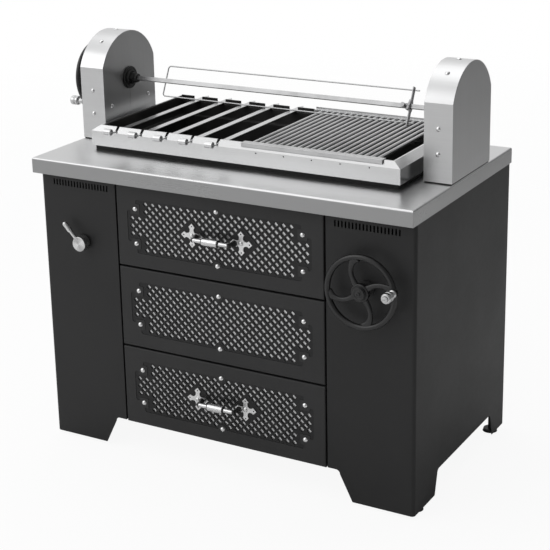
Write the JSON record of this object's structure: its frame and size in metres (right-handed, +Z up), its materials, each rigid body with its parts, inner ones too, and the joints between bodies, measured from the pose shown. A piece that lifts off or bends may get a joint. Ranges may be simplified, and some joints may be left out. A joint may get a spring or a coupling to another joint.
{
  "type": "mangal grill",
  "caption": "Charcoal grill cabinet with a steel worktop, spit towers with a hand-turned spit, skewers, grate, height-adjustable charcoal bed and drawers.",
  "frame": {"origin": "on the floor, in the middle of the object's bounding box", "axes": "+X to the user's right along the worktop, +Y from the front to the back, +Z up"},
  "size_m": [1.292, 0.752, 1.1951],
  "materials": {
    "worktop_steel": "fine brushed",
    "cabinet_paint": "satin black, fine texture",
    "front_paint": "satin black, fine texture",
    "plate_black": "satin black",
    "backing_silver": "matt silver",
    "stud_chrome": "polished",
    "cross_steel": "polished, slightly brushed",
    "handle_steel": "satin chrome",
    "cast_black": "black, slightly glossy",
    "grip_steel": "turned, bright",
    "knob_steel": "turned, satin",
    "tower_steel": "brushed",
    "tower_base_black": "matt black",
    "bolt_chrome": "polished",
    "grill_steel": "polished, fine brushed",
    "firebox_black": "heat-proof matt black",
    "lift_steel": "bare steel",
    "bearing_black": "black",
    "drawer_steel": "zinc-plated",
    "foot_black": "matt black",
    "spit_steel": "satin",
    "fork_plate_steel": "satin",
    "skewer_steel": "satin",
    "grate_steel": "satin"
  },
  "bodies": {
    "cabinet": {"worktop": "worktop_steel", "left_column": "cabinet_paint", "right_column": "cabinet_paint", "back_panel": "cabinet_paint", "base_floor": "cabinet_paint", "front_rail": "cabinet_paint", "partitions": "cabinet_paint", "runner_channels": "drawer_steel", "levelling_feet": "foot_black", "middle_panel": "front_paint", "middle_perforated_plate": "plate_black", "middle_backing": "backing_silver", "middle_studs": "stud_chrome", "plinth": "tower_base_black", "grill_box": "grill_steel", "firebox": "firebox_black", "skewer_rest": "firebox_black", "tower_bases": "tower_base_black", "tower_bands": "tower_steel", "tower_inner_plates": "tower_steel", "tower_outer_plates": "tower_steel", "tower_bolts": "bolt_chrome", "shaft_bearings": "bearing_black", "lift_guides": "lift_steel"},
    "charcoal_lift": {"lift_carriage": "lift_steel", "lift_rack": "lift_steel", "charcoal_tray": "firebox_black"},
    "lift_wheel": {"front_handwheel": "cast_black", "lift_shaft": "lift_steel", "lift_pinion": "lift_steel"},
    "lift_wheel_grip": {"front_wheel_grip": "grip_steel"},
    "spit_assembly": {"spit_handwheel": "cast_black", "spit_hub": "cast_black", "spit": "spit_steel", "spit_fork": "spit_steel"},
    "fork_slider": {"fork_plate": "fork_plate_steel", "fork_clamp": "fork_plate_steel"},
    "spit_grip": {"spit_wheel_grip": "grip_steel"},
    "air_control": {"air_lever": "knob_steel", "damper_flap": "lift_steel"},
    "top_drawer": {"top_drawer_front": "front_paint", "top_perforated_plate": "plate_black", "top_backing": "backing_silver", "top_studs": "stud_chrome", "top_handle_crosses": "cross_steel", "top_handle": "handle_steel", "ash_pan": "drawer_steel"},
    "bottom_drawer": {"bottom_drawer_front": "front_paint", "bottom_perforated_plate": "plate_black", "bottom_backing": "backing_silver", "bottom_studs": "stud_chrome", "bottom_handle_crosses": "cross_steel", "bottom_handle": "handle_steel", "bottom_drawer_box": "drawer_steel"},
    "grill_grate": {"grate": "grate_steel"},
    "loose_skewer_1": {"skewer_1": "skewer_steel"},
    "loose_skewer_2": {"skewer_2": "skewer_steel"},
    "loose_skewer_3": {"skewer_3": "skewer_steel"},
    "loose_skewer_4": {"skewer_4": "skewer_steel"},
    "loose_skewer_5": {"skewer_5": "skewer_steel"}
  },
  "joints": [
    {"name": "charcoal_height", "type": "slide", "parent": "cabinet", "child": "charcoal_lift", "axis": [0, 0, 1], "range_m": [-0.04, 0.06]},
    {"name": "lift_wheel_turn", "type": "hinge", "parent": "cabinet", "child": "lift_wheel", "pos_m": [0.502, -0.314, 0.642], "axis": [0, -1, 0], "range_deg": [-109.2, 163.8]},
    {"name": "lift_grip_spin", "type": "hinge", "parent": "lift_wheel", "child": "lift_wheel_grip", "pos_m": [0.59731, -0.35, 0.6571], "axis": [0, -1, 0], "continuous": true},
    {"name": "spit_turn", "type": "hinge", "parent": "cabinet", "child": "spit_assembly", "pos_m": [0.046, 0.071, 1.048], "axis": [1, 0, 0], "continuous": true},
    {"name": "spit_grip_spin", "type": "hinge", "parent": "spit_assembly", "child": "spit_grip", "pos_m": [-0.62, 0.00897, 0.97408], "axis": [-1, 0, 0], "continuous": true},
    {"name": "fork_plate_slide", "type": "slide", "parent": "spit_assembly", "child": "fork_slider", "axis": [-1, 0, 0], "range_m": [0, 0.35]},
    {"name": "air_lever_turn", "type": "hinge", "parent": "cabinet", "child": "air_control", "pos_m": [-0.4045, -0.314, 0.6375], "axis": [0, -1, 0], "range_deg": [0, 45]},
    {"name": "top_drawer_slide", "type": "slide", "parent": "cabinet", "child": "top_drawer", "axis": [0, -1, 0], "range_m": [0, 0.35]},
    {"name": "bottom_drawer_slide", "type": "slide", "parent": "cabinet", "child": "bottom_drawer", "axis": [0, -1, 0], "range_m": [0, 0.35]},
    {"name": "grate_lift_off", "type": "slide", "parent": "cabinet", "child": "grill_grate", "axis": [0, 0, 1], "range_m": [0, 0.03]},
    {"name": "skewer_1_lift_off", "type": "slide", "parent": "cabinet", "child": "loose_skewer_1", "axis": [0, 0, 1], "range_m": [0, 0.03]},
    {"name": "skewer_2_lift_off", "type": "slide", "parent": "cabinet", "child": "loose_skewer_2", "axis": [0, 0, 1], "range_m": [0, 0.03]},
    {"name": "skewer_3_lift_off", "type": "slide", "parent": "cabinet", "child": "loose_skewer_3", "axis": [0, 0, 1], "range_m": [0, 0.03]},
    {"name": "skewer_4_lift_off", "type": "slide", "parent": "cabinet", "child": "loose_skewer_4", "axis": [0, 0, 1], "range_m": [0, 0.03]},
    {"name": "skewer_5_lift_off", "type": "slide", "parent": "cabinet", "child": "loose_skewer_5", "axis": [0, 0, 1], "range_m": [0, 0.03]}
  ],
  "couplings": [
    {"joint": "lift_wheel_turn", "follows": "charcoal_height", "rad_per_m": 47.619}
  ]
}
